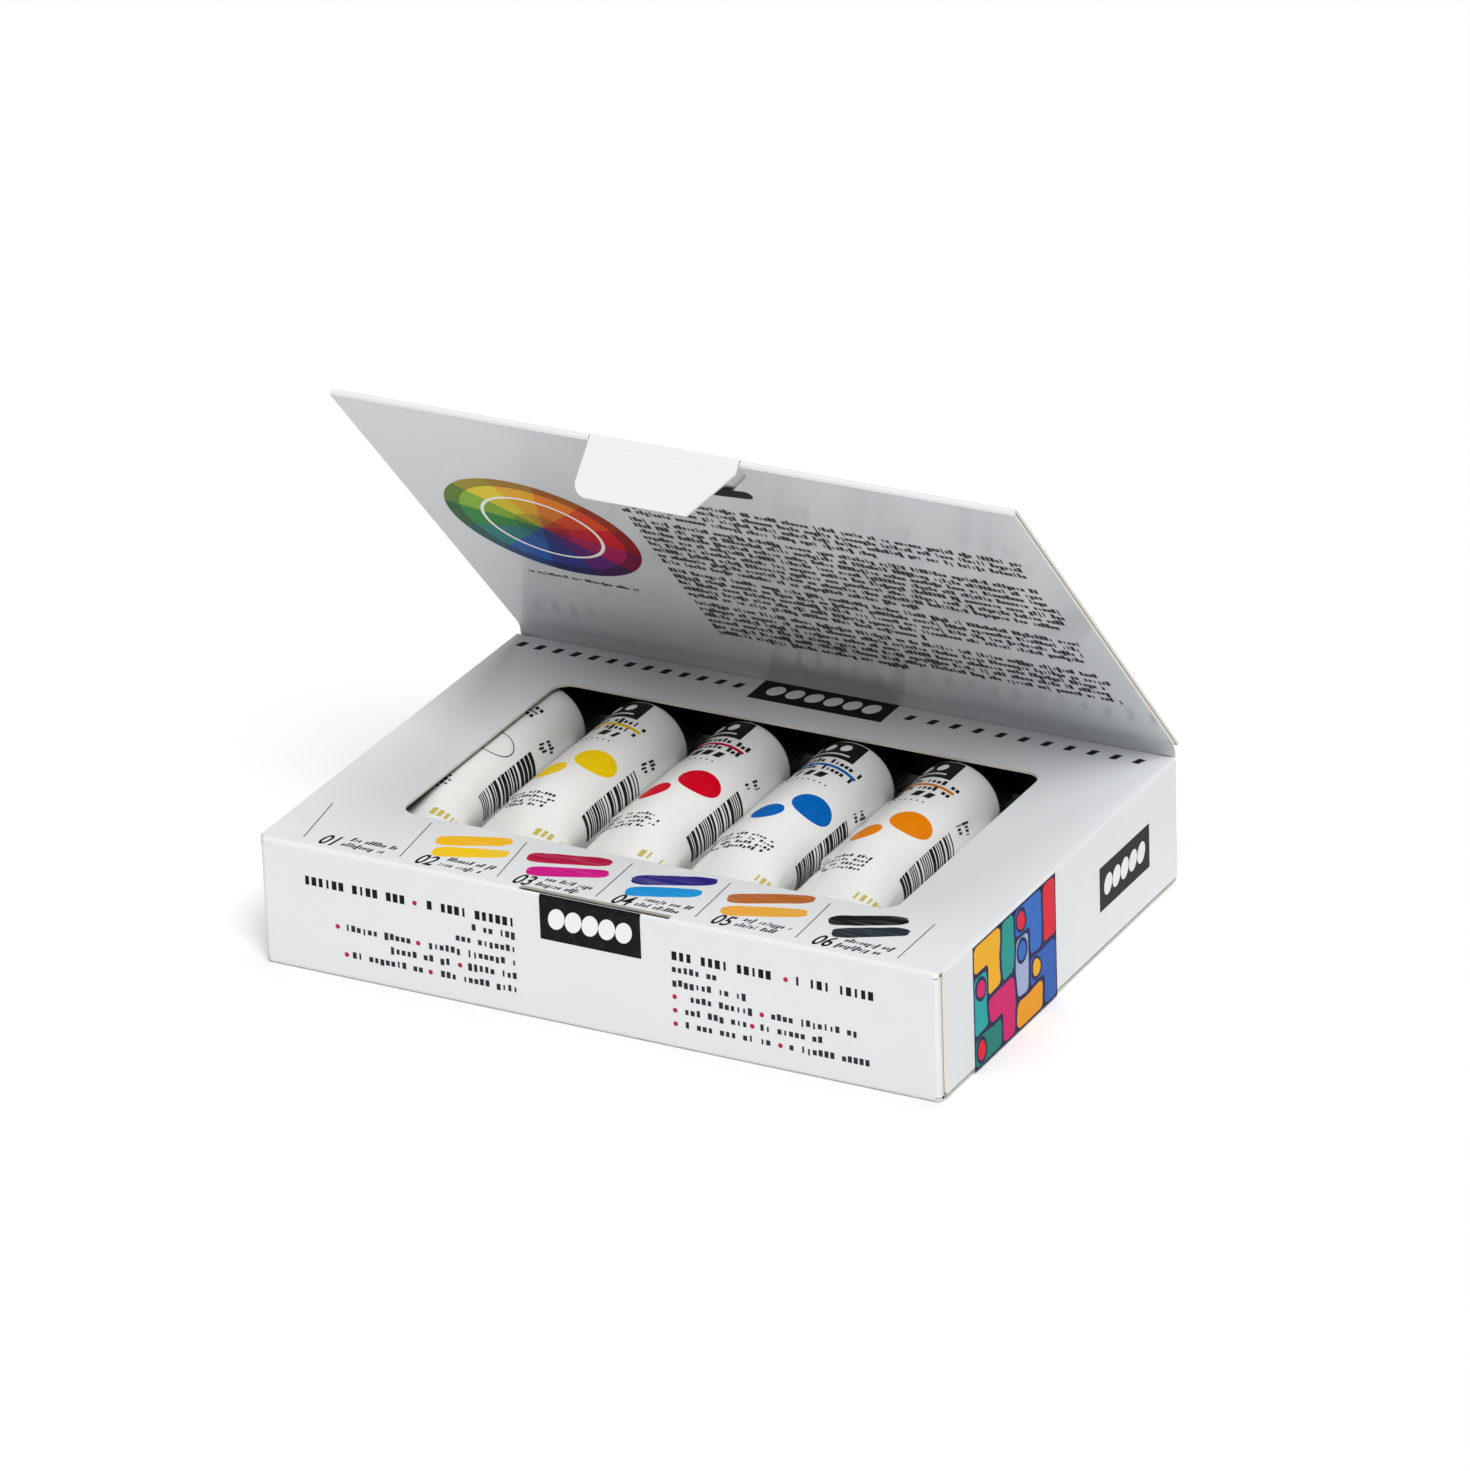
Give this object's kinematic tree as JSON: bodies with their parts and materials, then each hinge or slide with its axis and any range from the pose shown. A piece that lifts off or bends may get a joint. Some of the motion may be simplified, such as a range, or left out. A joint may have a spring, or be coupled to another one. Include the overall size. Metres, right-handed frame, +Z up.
{
  "type": "gouache paint box",
  "caption": "Flat folding carton with a window in its top and a hinged cover lid with a tuck tongue, holding paint tubes with screw caps in a formed tray.",
  "frame": {"origin": "middle of the carton's footprint, on the table", "axes": "+X to the right along the row of tubes, -Y to the front, +Z up"},
  "size_m": [0.18, 0.128, 0.131],
  "materials": {
    "printed_board": "satin",
    "tray_plastic": "satin",
    "tube_metal": "satin",
    "cap_plastic": "satin",
    "white_paint": "satin",
    "yellow_paint": "satin",
    "magenta_paint": "satin",
    "cyan_paint": "satin",
    "ochre_paint": "satin",
    "black_paint": "satin"
  },
  "bodies": {
    "box": {"bottom_panel": "printed_board", "front_wall": "printed_board", "back_wall": "printed_board", "top_window_panel": "printed_board", "back_glue_flap": "printed_board", "front_dust_flap_left": "printed_board", "front_dust_flap_right": "printed_board", "back_dust_flap_left": "printed_board", "back_dust_flap_right": "printed_board", "formed_tray": "tray_plastic", "white_tube": "tube_metal", "white_paint": "white_paint", "yellow_tube": "tube_metal", "yellow_paint": "yellow_paint", "magenta_tube": "tube_metal", "magenta_paint": "magenta_paint", "cyan_tube": "tube_metal", "cyan_paint": "cyan_paint", "ochre_tube": "tube_metal", "ochre_paint": "ochre_paint", "black_tube": "tube_metal", "black_paint": "black_paint"},
    "lid": {"lid_outer_panel": "printed_board", "lid_lining": "printed_board"},
    "tongue": {"lid_tongue": "printed_board"},
    "left_flap": {"left_end_flap": "printed_board", "left_tuck_flap": "printed_board"},
    "right_flap": {"right_end_flap": "printed_board", "right_tuck_flap": "printed_board"},
    "white_cap": {"white_cap": "cap_plastic"},
    "yellow_cap": {"yellow_cap": "cap_plastic"},
    "magenta_cap": {"magenta_cap": "cap_plastic"},
    "cyan_cap": {"cyan_cap": "cap_plastic"},
    "ochre_cap": {"ochre_cap": "cap_plastic"},
    "black_cap": {"black_cap": "cap_plastic"}
  },
  "joints": [
    {"name": "lid_hinge", "type": "hinge", "parent": "box", "child": "lid", "pos_m": [0, 0.064, 0.0362], "axis": [-1, 0, 0], "range_deg": [-48.84, 131.7]},
    {"name": "tongue_fold", "type": "hinge", "parent": "lid", "child": "tongue", "pos_m": [0, -0.02048, 0.13102], "axis": [1, 0, 0], "range_deg": [-95.02, 0]},
    {"name": "left_flap_hinge", "type": "hinge", "parent": "box", "child": "left_flap", "pos_m": [-0.08999, 0, 0.033], "axis": [0, 1, 0], "range_deg": [0, 180]},
    {"name": "right_flap_hinge", "type": "hinge", "parent": "box", "child": "right_flap", "pos_m": [0.08999, 0, 0.033], "axis": [0, -1, 0], "range_deg": [0, 180]},
    {"name": "white_cap_turn", "type": "hinge", "parent": "box", "child": "white_cap", "pos_m": [-0.0705, 0.05, 0.0209], "axis": [0, 1, 0], "continuous": true},
    {"name": "yellow_cap_turn", "type": "hinge", "parent": "box", "child": "yellow_cap", "pos_m": [-0.0423, 0.05, 0.0209], "axis": [0, 1, 0], "continuous": true},
    {"name": "magenta_cap_turn", "type": "hinge", "parent": "box", "child": "magenta_cap", "pos_m": [-0.0141, 0.05, 0.0209], "axis": [0, 1, 0], "continuous": true},
    {"name": "cyan_cap_turn", "type": "hinge", "parent": "box", "child": "cyan_cap", "pos_m": [0.0141, 0.05, 0.0209], "axis": [0, 1, 0], "continuous": true},
    {"name": "ochre_cap_turn", "type": "hinge", "parent": "box", "child": "ochre_cap", "pos_m": [0.0423, 0.05, 0.0209], "axis": [0, 1, 0], "continuous": true},
    {"name": "black_cap_turn", "type": "hinge", "parent": "box", "child": "black_cap", "pos_m": [0.0705, 0.05, 0.0209], "axis": [0, 1, 0], "continuous": true}
  ]
}
